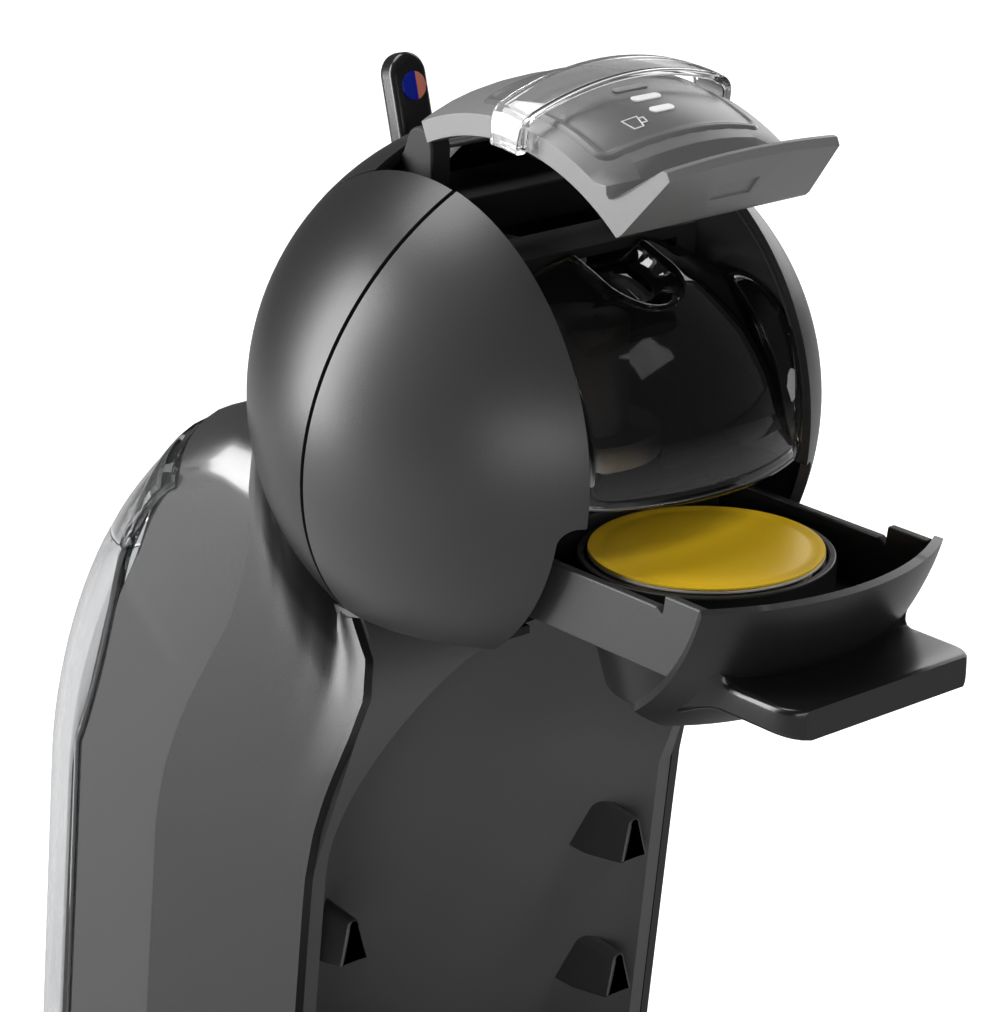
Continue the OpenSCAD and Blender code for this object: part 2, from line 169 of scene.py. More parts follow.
def splitPlane(bm, point, normal):
    # Cuts new edges along a plane and keeps both sides.
    bmesh.ops.bisect_plane(bm, geom=bm.verts[:] + bm.edges[:] + bm.faces[:], plane_co=point, plane_no=normal)


def cutPlane(bm, point, normal, fill=True):
    # Takes away what lies on the normal's side, and closes the cut.
    geom = bm.verts[:] + bm.edges[:] + bm.faces[:]
    made = bmesh.ops.bisect_plane(bm, geom=geom, plane_co=point, plane_no=normal, clear_outer=True)
    if fill:
        bmesh.ops.holes_fill(bm, edges=[e for e in made["geom_cut"] if isinstance(e, bmesh.types.BMEdge)])


def cutWedge(bm, planes):
    # Takes away what lies inside every one of the planes.
    for point, normal in planes:
        splitPlane(bm, point, normal)
    inside = []
    for face in bm.faces:
        centre = face.calc_center_median()
        if all((centre - Vector(p)).dot(Vector(n)) < 0 for p, n in planes):
            inside.append(face)
    bmesh.ops.delete(bm, geom=inside, context="FACES")


def ball(radius, around=128, along=96, centre=(0, 0, 0)):
    # The poles lie on the X axis.
    bm = bmesh.new()
    bmesh.ops.create_uvsphere(bm, u_segments=around, v_segments=along, radius=radius)
    bmesh.ops.rotate(bm, verts=bm.verts, cent=(0, 0, 0), matrix=Matrix.Rotation(math.pi / 2, 3, "Y"))
    bmesh.ops.translate(bm, verts=bm.verts, vec=centre)
    return bm


def prism(points, stations, axis="x"):
    # Extrudes a flat outline along an axis, stopping at each station, and closes both ends.
    place = {"x": lambda s, a, b: (s, a, b), "y": lambda s, a, b: (a, s, b),
             "z": lambda s, a, b: (a, b, s)}[axis]
    bm = bmesh.new()
    ring = [bm.verts.new(place(stations[0], a, b)) for a, b in points]
    edges = [bm.edges.new(pair) for pair in zip(ring, ring[1:] + ring[:1])]
    ends = edges[:]
    for last, nextStation in zip(stations, stations[1:]):
        made = bmesh.ops.extrude_edge_only(bm, edges=edges)["geom"]
        verts = [g for g in made if isinstance(g, bmesh.types.BMVert)]
        bmesh.ops.translate(bm, verts=verts, vec=place(nextStation - last, 0, 0))
        fresh = set(verts)
        edges = [g for g in made if isinstance(g, bmesh.types.BMEdge) and fresh.issuperset(g.verts)]
    bmesh.ops.holes_fill(bm, edges=ends + edges)
    bmesh.ops.recalc_face_normals(bm, faces=bm.faces)
    return bm


def sheet(columns, rows, place):
    # A grid whose points are moved to place(u, v), with u and v from 0 to 1.
    bm = bmesh.new()
    bmesh.ops.create_grid(bm, x_segments=columns, y_segments=rows, size=0.5)
    for v in bm.verts:
        v.co = place(v.co.x + 0.5, v.co.y + 0.5)
    return bm


def turned(profile, centre=(0, 0, 0), axis=(0, 0, 1), steps=72, angle=math.tau):
    # Spins an (r, z) profile about an upright axis.
    bm = bmesh.new()
    verts = [bm.verts.new((r, 0, z)) for r, z in profile]
    edges = [bm.edges.new(pair) for pair in zip(verts, verts[1:])]
    bmesh.ops.spin(bm, geom=verts + edges, cent=(0, 0, 0), axis=axis, angle=angle, steps=steps,
                   use_merge=True)
    bmesh.ops.remove_doubles(bm, verts=bm.verts, dist=0.005)
    bmesh.ops.translate(bm, verts=bm.verts, vec=centre)
    bmesh.ops.recalc_face_normals(bm, faces=bm.faces)
    return bm


def arc(cx, cy, radius, start, end, steps=8):
    points = []
    for i in range(steps + 1):
        a = math.radians(start + (end - start) * i / steps)
        points.append((cx + radius * math.cos(a), cy + radius * math.sin(a)))
    return points


def roundRect(x0, x1, y0, y1, radius, steps=6):
    return (arc(x1 - radius, y1 - radius, radius, 0, 90, steps)
            + arc(x0 + radius, y1 - radius, radius, 90, 180, steps)
            + arc(x0 + radius, y0 + radius, radius, 180, 270, steps)
            + arc(x1 - radius, y0 + radius, radius, 270, 360, steps))


def bezier(p, start=0.0, steps=24):
    points = []
    for i in range(steps + 1):
        t = start + (1 - start) * i / steps
        s = 1 - t
        k = (s ** 3, 3 * s * s * t, 3 * s * t * t, t ** 3)
        points.append(tuple(sum(k[j] * p[j][c] for j in range(4)) for c in range(2)))
    return points


def pointAlong(points, t):
    lengths = [0]
    for a, b in zip(points, points[1:]):
        lengths.append(lengths[-1] + (Vector(b) - Vector(a)).length)
    want = t * lengths[-1]
    for i in range(1, len(points)):
        if lengths[i] >= want - 1e-9:
            k = (want - lengths[i - 1]) / max(lengths[i] - lengths[i - 1], 1e-9)
            return Vector(points[i - 1]).lerp(Vector(points[i]), k)
    return Vector(points[-1])


def smooth(x):
    x = min(max(x, 0), 1)
    return x * x * (3 - 2 * x)


def roundOff(distance, radius):
    # How far a rounded edge has dropped, at a distance inside it.
    d = min(max(radius - distance, 0), radius)
    return radius - math.sqrt(radius * radius - d * d)


def mirrored(bm):
    copy = bm.copy()
    bmesh.ops.scale(copy, verts=copy.verts, vec=(-1, 1, 1))
    bmesh.ops.reverse_faces(copy, faces=copy.faces)
    return copy


def joined(parts):
    # Puts several meshes into one.
    whole = bmesh.new()
    for part in parts:
        mesh = bpy.data.meshes.new("part")
        part.to_mesh(mesh)
        whole.from_mesh(mesh)
        bpy.data.meshes.remove(mesh)
        part.free()
    return whole


def subtract(bm, cutters):
    made = []
    for part in [bm] + cutters:
        bmesh.ops.recalc_face_normals(part, faces=part.faces)
        mesh = bpy.data.meshes.new("cut")
        part.to_mesh(mesh)
        part.free()
        thing = bpy.data.objects.new("cut", mesh)
        bpy.context.collection.objects.link(thing)
        made.append(thing)
    for cutter in made[1:]:
        step = made[0].modifiers.new("cut", "BOOLEAN")
        step.operation = "DIFFERENCE"
        step.solver = "EXACT"
        step.object = cutter
    bpy.context.view_layer.update()
    out = bmesh.new()
    out.from_mesh(made[0].evaluated_get(bpy.context.evaluated_depsgraph_get()).to_mesh())
    for thing in made:
        mesh = thing.data
        bpy.data.objects.remove(thing)
        bpy.data.meshes.remove(mesh)
    return out


def bead(points, radius, closed=False):
    # A fine round rib along a path.
    data = bpy.data.curves.new("bead", "CURVE")
    data.dimensions = "3D"
    data.bevel_depth = radius
    data.bevel_resolution = 3
    data.use_fill_caps = True
    spline = data.splines.new("POLY")
    spline.points.add(len(points) - 1)
    spline.use_cyclic_u = closed
    for point, place in zip(spline.points, points):
        point.co = (*place, 1)
    thing = bpy.data.objects.new("bead", data)
    bpy.context.collection.objects.link(thing)
    bpy.context.view_layer.update()
    bm = bmesh.new()
    bm.from_mesh(thing.evaluated_get(bpy.context.evaluated_depsgraph_get()).to_mesh())
    bpy.data.objects.remove(thing)
    bpy.data.curves.remove(data)
    return bm


def openArm(bm):
    bmesh.ops.rotate(bm, verts=bm.verts, cent=armHinge, matrix=Matrix.Rotation(armOpen, 3, "X"))
    return bm


# Materials
def newGroup(name, inputs, outputs):
    group = bpy.data.node_groups.new(name, "ShaderNodeTree")
    kinds = {"c": "NodeSocketColor", "f": "NodeSocketFloat", "v": "NodeSocketVector"}
    for label, kind in inputs:
        group.interface.new_socket(label, in_out="INPUT", socket_type=kinds[kind])
    for label, kind in outputs:
        group.interface.new_socket(label, in_out="OUTPUT", socket_type=kinds[kind])
    return group, group.nodes.new("NodeGroupInput"), group.nodes.new("NodeGroupOutput")


def mathNode(tree, operation, first, second, third=None):
    node = tree.nodes.new("ShaderNodeMath")
    node.operation = operation
    for socket, value in zip(node.inputs, (first, second, third)):
        if isinstance(value, (int, float)):
            socket.default_value = value
        elif value is not None:
            tree.links.new(value, socket)
    return node.outputs[0]


def plasticGroup():
    # Fine moulded grain, with slow changes of shade and gloss.
    inputs = (("Colour", "c"), ("Grain Size", "f"), ("Grain Depth", "f"), ("Roughness", "f"),
              ("Variation", "f"))
    group, inside, outside = newGroup("mouldedPlastic", inputs,
                                      (("Colour", "c"), ("Roughness", "f"), ("Normal", "v")))
    link = group.links.new
    place = group.nodes.new("ShaderNodeTexCoord")
    grain = group.nodes.new("ShaderNodeTexNoise")
    grain.inputs["Detail"].default_value = 3
    link(place.outputs["Object"], grain.inputs["Vector"])
    link(inside.outputs["Grain Size"], grain.inputs["Scale"])
    bump = group.nodes.new("ShaderNodeBump")
    bump.inputs["Distance"].default_value = 0.0003
    link(inside.outputs["Grain Depth"], bump.inputs["Strength"])
    link(grain.outputs["Fac"], bump.inputs["Height"])
    cloud = group.nodes.new("ShaderNodeTexNoise")
    cloud.inputs["Scale"].default_value = 16
    cloud.inputs["Detail"].default_value = 4
    link(place.outputs["Object"], cloud.inputs["Vector"])
    centred = mathNode(group, "SUBTRACT", cloud.outputs["Fac"], 0.5)
    amount = mathNode(group, "MULTIPLY", centred, inside.outputs["Variation"])
    shade = group.nodes.new("ShaderNodeHueSaturation")
    link(mathNode(group, "MULTIPLY_ADD", amount, 2.0, 1.0), shade.inputs["Value"])
    link(inside.outputs["Colour"], shade.inputs["Color"])
    link(shade.outputs["Color"], outside.inputs["Colour"])
    link(mathNode(group, "MULTIPLY_ADD", amount, 0.5, inside.outputs["Roughness"]),
         outside.inputs["Roughness"])
    link(bump.outputs["Normal"], outside.inputs["Normal"])
    return group


def streakGroup():
    # Fine straight marks from brushing or drawing, along Y.
    inputs = (("Colour", "c"), ("Roughness", "f"), ("Depth", "f"))
    group, inside, outside = newGroup("drawnStreaks", inputs,
                                      (("Colour", "c"), ("Roughness", "f"), ("Normal", "v")))
    link = group.links.new
    place = group.nodes.new("ShaderNodeTexCoord")
    stretch = group.nodes.new("ShaderNodeMapping")
    stretch.inputs["Scale"].default_value = (1, 0.04, 1)
    streak = group.nodes.new("ShaderNodeTexNoise")
    streak.inputs["Scale"].default_value = 900
    streak.inputs["Detail"].default_value = 2
    link(place.outputs["Object"], stretch.inputs["Vector"])
    link(stretch.outputs["Vector"], streak.inputs["Vector"])
    bump = group.nodes.new("ShaderNodeBump")
    bump.inputs["Distance"].default_value = 0.0002
    link(inside.outputs["Depth"], bump.inputs["Strength"])
    link(streak.outputs["Fac"], bump.inputs["Height"])
    link(inside.outputs["Colour"], outside.inputs["Colour"])
    link(mathNode(group, "MULTIPLY_ADD", streak.outputs["Fac"], 0.2, inside.outputs["Roughness"]),
         outside.inputs["Roughness"])
    link(bump.outputs["Normal"], outside.inputs["Normal"])
    return group


mouldedPlastic = plasticGroup()
drawnStreaks = streakGroup()


def newMaterial(name, group, values):
    material = bpy.data.materials.new(name)
    material.use_nodes = True
    tree = material.node_tree
    shader = tree.nodes["Principled BSDF"]
    finish = tree.nodes.new("ShaderNodeGroup")
    finish.node_tree = group
    for label, value in values.items():
        finish.inputs[label].default_value = value
    tree.links.new(finish.outputs["Colour"], shader.inputs["Base Color"])
    tree.links.new(finish.outputs["Roughness"], shader.inputs["Roughness"])
    tree.links.new(finish.outputs["Normal"], shader.inputs["Normal"])
    return material, shader


def plastic(name, colour, roughness=0.42, grain=0.12, grainSize=2600, variation=0.1, coat=0.0, metallic=0.0):
    values = {"Colour": (*colour, 1), "Grain Size": grainSize, "Grain Depth": grain, "Roughness": roughness,
              "Variation": variation}
    material, shader = newMaterial(name, mouldedPlastic, values)
    shader.inputs["Coat Weight"].default_value = coat
    shader.inputs["Coat Roughness"].default_value = 0.06
    shader.inputs["Metallic"].default_value = metallic
    return material


def metal(name, colour, roughness=0.25, depth=0.3):
    values = {"Colour": (*colour, 1), "Roughness": roughness, "Depth": depth}
    material, shader = newMaterial(name, drawnStreaks, values)
    shader.inputs["Metallic"].default_value = 1
    return material


def clearPlastic(name, colour, roughness=0.03):
    values = {"Colour": (*colour, 1), "Grain Size": 60, "Grain Depth": 0.02, "Roughness": roughness,
              "Variation": 0.02}
    material, shader = newMaterial(name, mouldedPlastic, values)
    shader.inputs["IOR"].default_value = 1.49
    shader.inputs["Transmission Weight"].default_value = 1
    return material


def smokeWithPaintedRimHighlight(material, low, high, lowColour, highColour):
    # Tints a clear piece from one shade at its foot to another above: on the visor the dark top is its real
    # smoke, and the light foot is a painted highlight standing in for the lit lower rim.
    tree = material.node_tree
    place = tree.nodes.new("ShaderNodeTexCoord")
    split = tree.nodes.new("ShaderNodeSeparateXYZ")
    ramp = tree.nodes.new("ShaderNodeMapRange")
    ramp.inputs["From Min"].default_value = low
    ramp.inputs["From Max"].default_value = high
    mix = tree.nodes.new("ShaderNodeMix")
    mix.data_type = "RGBA"
    mix.inputs["A"].default_value = (*lowColour, 1)
    mix.inputs["B"].default_value = (*highColour, 1)
    tree.links.new(place.outputs["Object"], split.inputs[0])
    tree.links.new(split.outputs["Z"], ramp.inputs["Value"])
    tree.links.new(ramp.outputs["Result"], mix.inputs["Factor"])
    tree.links.new(mix.outputs["Result"], tree.nodes["Principled BSDF"].inputs["Base Color"])


capSatin = plastic("capSatin", (0.040, 0.040, 0.041), roughness=0.36)
shellSatin = plastic("shellSatin", (0.014, 0.014, 0.0145), roughness=0.34)
columnSatin = plastic("columnSatin", (0.095, 0.095, 0.096), roughness=0.42)
rearGloss = plastic("rearGloss", (0.036, 0.036, 0.037), roughness=0.2, grain=0.02, coat=0.3)
trimBlack = plastic("trimBlack", (0.012, 0.012, 0.013), roughness=0.45)
innerBlack = plastic("innerBlack", (0.004, 0.004, 0.004), roughness=0.6)
drawerSatin = plastic("drawerSatin", (0.016, 0.016, 0.017), roughness=0.33)
drawerSide = plastic("drawerSide", (0.032, 0.032, 0.033), roughness=0.45)
handleGloss = plastic("handleGloss", (0.007, 0.007, 0.008), roughness=0.24, grain=0.04)
armGrey = plastic("armGrey", (0.17, 0.17, 0.171), roughness=0.34)
armTopGrey = plastic("armTopGrey", (0.13, 0.13, 0.131), roughness=0.26)
leverBlack = plastic("leverBlack", (0.010, 0.010, 0.011), roughness=0.22, grain=0.04)
smoked = clearPlastic("smokedClear", (0.16, 0.16, 0.165))
# The visor's light foot is a painted highlight along its lower rim; the dark shade above it is the visor's
# own smoke.
smokeWithPaintedRimHighlight(smoked, head["z"] / 1000 - 0.003, head["z"] / 1000 + 0.006,
               (0.8, 0.8, 0.81), (0.09, 0.09, 0.092))
clearTank = clearPlastic("clearTank", (0.96, 0.97, 0.98))
clearCollar = clearPlastic("clearCollar", (0.98, 0.98, 0.99), roughness=0.02)
foilYellow = plastic("foilYellow", (0.95, 0.60, 0.02), roughness=0.42, grain=0.1, grainSize=900)
iconDim = plastic("iconDim", (0.17, 0.17, 0.17), roughness=0.4, grain=0.02)
hookSatin = plastic("hookSatin", (0.045, 0.045, 0.046), roughness=0.35)
podCream = plastic("podCream", (0.8, 0.76, 0.66))
rubberBlack = plastic("rubberBlack", (0.015, 0.015, 0.015), roughness=0.8, grain=0.5)
steel = metal("brushedSteel", (0.62, 0.62, 0.64))
castAlloy = metal("castAlloy", (0.55, 0.55, 0.56), roughness=0.4, depth=0.6)
badgeBlue = plastic("badgeBlue", (0.004, 0.014, 0.30), roughness=0.25, grain=0.02)
badgeCoral = plastic("badgeCoral", (0.62, 0.20, 0.14), roughness=0.25, grain=0.02)
iconWhite = plastic("iconWhite", (0.85, 0.85, 0.85), roughness=0.4, grain=0.02)
silicone = plastic("silicone", (0.62, 0.62, 0.6), roughness=0.5)
sealRed = plastic("sealRed", (0.35, 0.04, 0.03), roughness=0.5)
boardGreen = plastic("boardGreen", (0.01, 0.12, 0.05), roughness=0.35)
valveBlue = plastic("valveBlue", (0.05, 0.1, 0.2), roughness=0.5)
pumpBrown = plastic("pumpBrown", (0.14, 0.11, 0.08), roughness=0.4)
print("materials made")

makeCamera()
makeStudio()


# Head
def seamCut(bm, back, forward):
    # Cuts along the tilted seam; back is the seam's place, forward is 1 to take away what is behind it.
    tilt = math.radians(head["seamTilt"])
    normal = Vector((0, math.cos(tilt), math.sin(tilt)))
    cutPlane(bm, normal * back, normal * forward, fill=False)


def makeHeadCaps():
    cap = {"wall": 2.5, "notchX": 39.0, "notchTop": -10.0, "notchRound": 4.0, "edge": 0.7}
    bm = ball(head["radius"])
    cutPlane(bm, (-head["channel"], 0, 0), (1, 0, 0))
    cutPlane(bm, (0, 0, head["floor"]), (0, 0, -1))
    seamCut(bm, -head["seamGap"] / 2, 1)
    r = cap["notchRound"]
    corner = Vector((-cap["notchX"] + r, 0, cap["notchTop"] - r))
    planes = [((-cap["notchX"], 0, 0), (-1, 0, 0)), ((0, 0, cap["notchTop"]), (0, 0, 1))]
    for i in range(1, 5):
        a = math.radians(90 + 18 * i)
        out = Vector((math.cos(a), 0, math.sin(a)))
        planes.append((corner + out * r, out))
    cutWedge(bm, planes)
    for part, name in ((mirrored(bm), "head_cap_right"), (bm, "head_cap_left")):
        makePiece(part, name + "_cover", capSatin, "machine", (name,), bevel=cap["edge"], wall=cap["wall"])


outline = {
    "neck": [(6, -44), (-17, -56), (4, -88), (13, -115)],
    "shellBack": [(29, -10), (26, -55), (72, -75), (77, -129)],
    "tankFront": [(69, -16), (90, -26), (88, -66), (111.5, -111)],
    "tankBack": [(58, -8), (105, -22), (140, -75), (146, -125)],
}


def toFoot(points, low=footTop):
    y, z = points[-1]
    return points + [(y + (z - low) * math.tan(lean), low)]


def bodyHalf(z):
    # Half the body's width: it narrows towards the head.
    return 61 - 4.8 * (max(z + 120, 0) / 120) ** 1.5


def edgeHalf(z):
    # The same at the side shells' front edges, which pinch in at the neck.
    return bodyHalf(z) - 6.9 * (max(z + 84, 0) / 39.4) ** 1.6


def makeSideShells():
    shell = {"wall": 2.5, "edge": 0.7, "tuck": 1.8, "pinchLength": 15.0}
    crease = [(4.2, -45.4), (9.5, -47.2), (14.6, -45.2), (21.5, -38.1), (28.9, -26.9), (33.3, -17.9),
              (35.9, -11.2)]
    rearTop = [(35.9, -11.2), (36.8, -21), (36.2, -30), (36.8, -39)]
    front = toFoot([(4.2, -45.4), (-4, -53), (-5.9, -61.8), (-3.2, -71.2), (0.2, -79.5), (5.2, -90),
                    (9.1, -100), (12.4, -113), (14.4, -127)])
    rear = toFoot(rearTop + bezier(outline["shellBack"], 0.4, 20))
    # The band of the ball behind the seam, down to the crease.
    bm = ball(head["radius"])
    cutPlane(bm, (-head["channel"] - 0.3, 0, 0), (1, 0, 0), fill=False)
    seamCut(bm, head["seamGap"] / 2, -1)
    edge = [(-60, -45.4)] + crease + [(70, -12.5)]
    for (y0, z0), (y1, z1) in zip(edge, edge[1:]):
        down = Vector((0, z1 - z0, y0 - y1)).normalized() * shell["tuck"]
        splitPlane(bm, Vector((0, y0, z0)) + down, down)
    below = []
    for face in bm.faces:
        c = face.calc_center_median()
        for (y0, z0), (y1, z1) in zip(edge, edge[1:]):
            if y0 <= c.y < y1 and c.z < z0 + (z1 - z0) * (c.y - y0) / (y1 - y0) - shell["tuck"]:
                below.append(face)
    bmesh.ops.delete(bm, geom=list(set(below)), context="FACES")
    for v in bm.verts:
        v.co = v.co.normalized() * head["radius"]

    # The panel from the crease down to the foot, drawn in towards the ball at the crease.
    def place(u, v):
        v = v ** 1.6
        top, left, right = pointAlong(crease, u), pointAlong(front, v), pointAlong(rear, v)
        low = Vector(front[-1]).lerp(Vector(rear[-1]), u)
        flat = (Vector(front[0]) * (1 - u) + Vector(rear[0]) * u) * (1 - v)
        flat += (Vector(front[-1]) * (1 - u) + Vector(rear[-1]) * u) * v
        y, z = top * (1 - v) + low * v + left * (1 - u) + right * u - flat
        onBall = math.sqrt(head["radius"] ** 2 - top.x ** 2 - top.y ** 2)
        away = (Vector((y, z)) - top).length
        pinch = (bodyHalf(top.y) - onBall) * math.exp(-(away / shell["pinchLength"]) ** 1.25)
        half = bodyHalf(z) - pinch
        return (-half - (edgeHalf(z) - half) * (1 - smooth(u * 4)), y, z)

    panel = sheet(30, 70, place)
    bm = joined([bm, panel])
    for part, name in ((mirrored(bm), "side_shell_right"), (bm, "side_shell_left")):
        makePiece(part, name + "_skin", shellSatin, "machine", (name,), bevel=shell["edge"],
                  wall=shell["wall"])


def makeColumn():
    column = {"edge": 0.8, "scoop": 67.0, "slot": 26.4, "inset": 2.6}
    back = [(80, footTop)] + [(80, -84 + 38.4 * i / 8) for i in range(9)]
    points = toFoot(bezier(outline["neck"])) + back + [(7.5, -45.6)]
    bm = prism(points, [-58, 58])
    for v in bm.verts:
        v.co.x = math.copysign(edgeHalf(v.co.z) - column["inset"], v.co.x)
    r = column["scoop"]
    angles = [math.radians(a) for a in range(5, 91, 5)]
    profile = [(0, r)] + [(r * math.sin(a), r * math.cos(a)) for a in angles]
    scoop = turned(profile + [(r, -200), (0, -200)], steps=96)
    bmesh.ops.rotate(scoop, verts=scoop.verts, cent=(0, 0, 0), matrix=Matrix.Rotation(lean, 3, "X"))
    bmesh.ops.translate(scoop, verts=scoop.verts, vec=(0, -26, -119))
    slot = prism([(-column["slot"], -90)] + list(reversed(arc(0, -15.7, column["slot"], 0, 180, 20)))
                 + [(column["slot"], -90)], [-56, -40], "z")
    makePiece(subtract(bm, [scoop, slot]), "column_scoop", columnSatin, "machine", ("column_front",),
              bevel=column["edge"], merge=0.02)


def makeRear():
    rear = {"round": 16.0, "edge": 1.6}
    points = ([(33, -10), (50, -8), (58, -8), (68.4, -11.8)] + toFoot(bezier(outline["tankFront"]))
              + list(reversed(toFoot([(y - 1.5, z) for y, z in bezier(outline["shellBack"], 0.1)]))))
    stations = [math.sin(math.pi / 2 * i / 14) for i in range(-14, 15)]
    bm = prism(points, stations)
    for v in bm.verts:
        half = bodyHalf(v.co.z) - 1.3
        x = v.co.x * half
        up = 1 - smooth((-v.co.z - 34) / 36)
        v.co.z -= roundOff(half - abs(x), rear["round"]) * up
        v.co.x = x
    makePiece(bm, "rear_housing_cover", rearGloss, "machine", ("rear_housing",), bevel=rear["edge"])


def makeTank():
    tank = {"wall": 2.2, "corner": 28.0, "round": 14.0, "split": -51.85, "edge": 0.7}
    front = [(y + 0.6, z) for y, z in toFoot(bezier(outline["tankFront"]), footTop + 0.3)]
    back = toFoot(bezier(outline["tankBack"], 0.12), footTop + 0.3)
    points = front + list(reversed(back))
    stations = [math.sin(math.pi / 2 * i / 16) for i in range(-16, 17)]
    bm = prism(points, stations)
    frontLine = sorted((z, y) for y, z in front)
    for v in bm.verts:
        half = bodyHalf(v.co.z) - 1
        x = v.co.x * half
        z = v.co.z
        nearest = min(frontLine, key=lambda p: abs(p[0] - z))
        depth = max(v.co.y - nearest[1] - 0.5, 0)
        v.co.y -= min(roundOff(half - abs(x), tank["corner"]), depth)
        up = 1 - smooth((-z - 20) / 40)
        v.co.z -= roundOff(half - abs(x), tank["round"]) * up
        v.co.x = x
    lid = bm.copy()
    cutPlane(bm, (0, 0, tank["split"] - 0.15), (0, 0, 1), fill=False)
    cutPlane(lid, (0, 0, tank["split"] + 0.15), (0, 0, -1), fill=False)
    makePiece(bm, "water_tank_clear", clearTank, "tank_body", ("water_tank",), bevel=tank["edge"],
              wall=tank["wall"])
    makePiece(lid, "tank_lid_clear", clearTank, "tank_lid_body", ("tank_lid",), bevel=tank["edge"],
              wall=tank["wall"])


makeHeadCaps()
makeSideShells()
makeColumn()
makeRear()
makeTank()
print("body made")


# Front window
def makeVisor():
    visor = {"half": 33.3, "low": -6.5, "high": 58.0, "lip": 66.4, "flare": 5.0, "thick": 2.0}
    curve = [(66.4, -6.5), (66.0, -4.0), (63.6, 0.5), (62.4, 5), (61.4, 14), (59.2, 26), (55.5, 40),
             (51.5, 52), (50.0, 58)]

    def radiusAt(angle):
        for (r0, a0), (r1, a1) in zip(curve, curve[1:]):
            if angle <= a1:
                return r0 + (r1 - r0) * (angle - a0) / (a1 - a0)
        return curve[-1][0]

    def place(u, v):
        x = (2 * u - 1) * visor["half"]
        angle = visor["low"] + (visor["high"] - visor["low"]) * v
        r = radiusAt(angle)
        side = smooth((abs(x) - visor["half"] + visor["flare"]) / visor["flare"])
        r += (visor["lip"] - 0.5 - r) * side * (1 - smooth((angle - 20) / 34))
        pocket = smooth((10.5 - math.hypot(x, min((angle - 46) * 0.93, 0))) / 4.5)
        r -= 6.0 * pocket
        a = math.radians(angle)
        flat = math.sqrt(max(r * r - x * x, 1))
        return (x, -flat * math.cos(a), flat * math.sin(a))

    bm = sheet(96, 110, place)
    makePiece(bm, "visor_window", smoked, "machine", ("visor", "latch_pocket"), wall=visor["thick"],
              angle=50)


def makeTopCover():
    cover = {"wall": 2.5, "edge": 0.6}
    bm = ball(head["radius"])
    cutPlane(bm, (-head["channel"] + 0.3, 0, 0), (-1, 0, 0), fill=False)
    cutPlane(bm, (head["channel"] - 0.3, 0, 0), (1, 0, 0), fill=False)
    cutPlane(bm, (0, 17, 0), (0, -1, 0), fill=False)
    cutPlane(bm, (0, 0, -9), (0, 0, -1), fill=False)
    cutWedge(bm, [((-11, 0, 0), (-1, 0, 0)), ((11, 0, 0), (1, 0, 0)), ((0, 38.5, 0), (0, -1, 0)),
                  ((0, 51, 0), (0, 1, 0)), ((0, 0, 70), (0, 0, 1)), ((0, 0, 20), (0, 0, -1))])
    makePiece(bm, "top_cover_dome", shellSatin, "machine", ("top_cover",), bevel=cover["edge"],
              wall=cover["wall"])


def makeHinge():
    hinge = {"in": 20.6, "out": 26.4, "radius": 4.8, "pin": 1.5}
    y, z = armHinge.y, armHinge.z
    ear = [(y + 4.8, 40), (28, 40), (28, 50), (y + 6, 60)]
    ear += arc(y, z, hinge["radius"], 10, 180, 14) + [(y - 4.8, 40)]
    left = prism(ear, [-hinge["out"], -hinge["in"]])
    right = mirrored(left)
    base = prism([(y - 4.5, 40), (28, 40), (28, 49), (y - 4.5, 49)], [-hinge["in"] - 1, hinge["in"] + 1])
    makePiece(joined([left, right, base]), "hinge_block_ears", innerBlack, "machine", ("hinge_block",),
              bevel=0.8)
    pin = prism(arc(y, z, hinge["pin"], 0, 360, 32)[:-1], [-25.4, 25.4])
    makePiece(pin, "hinge_pin_shaft", steel, "machine", ("hinge_pin",), bevel=0.3)


makeVisor()
makeTopCover()
makeHinge()
print("head made")


# Locking arm
armTop = 73.2


def armPoint(x, radius, angle):
    a = math.radians(angle)
    return Vector((x, -radius * math.sin(a), radius * math.cos(a)))


def crowned(x, radius):
    # The arm's top is part of a ball, so it falls away to both sides.
    return math.sqrt(radius * radius - x * x)


def makeArm():
    arm = {"half": 28.0, "under": 62.5, "start": -4.0, "end": 48.4, "edge": 1.8}
    top = [(-armTop * math.sin(math.radians(a)), armTop * math.cos(math.radians(a)))
           for a in [arm["start"] + (arm["end"] - arm["start"]) * i / 24 for i in range(25)]]
    under = [(-arm["under"] * math.sin(math.radians(a)), arm["under"] * math.cos(math.radians(a)))
             for a in [59 - 63 * i / 28 for i in range(29)]]
    paddle = [(-54.2, 43.4), (-53.7, 41.6), (-54.2, 40.6), (-55.4, 40.3), (-57.5, 40.7), (-70.2, 45.0),
              (-71.4, 44.4), (-71.6, 42.4), (-56, 32.7), (-54.6, 32.2)]
    stations = [-28, -27, -24, -18, -12, -6, 0, 6, 12, 18, 24, 27, 28]
    bm = prism(top + paddle + under, stations)
    for v in bm.verts:
        reach = math.hypot(v.co.y, v.co.z)
        if v.co.z > 45.4 and reach > armTop - 0.1:
            v.co.y *= crowned(v.co.x, armTop) / armTop
            v.co.z *= crowned(v.co.x, armTop) / armTop
        tip = smooth((-v.co.y - 58) / 14)
        v.co.z -= 1.2 * (v.co.x / arm["half"]) ** 2 * tip
        v.co.x *= 1 - 0.1 * tip ** 2
    slot = prism([(-62, 33), (-66.5, 36.4), (-64.6, 38.8), (-60.4, 36)], [-6, 6])
    bm = subtract(bm, [slot])
    makePiece(openArm(bm), "locking_arm_body_cover", armGrey, "locking_arm_body", ("locking_arm",),
              bevel=arm["edge"], merge=0.02)


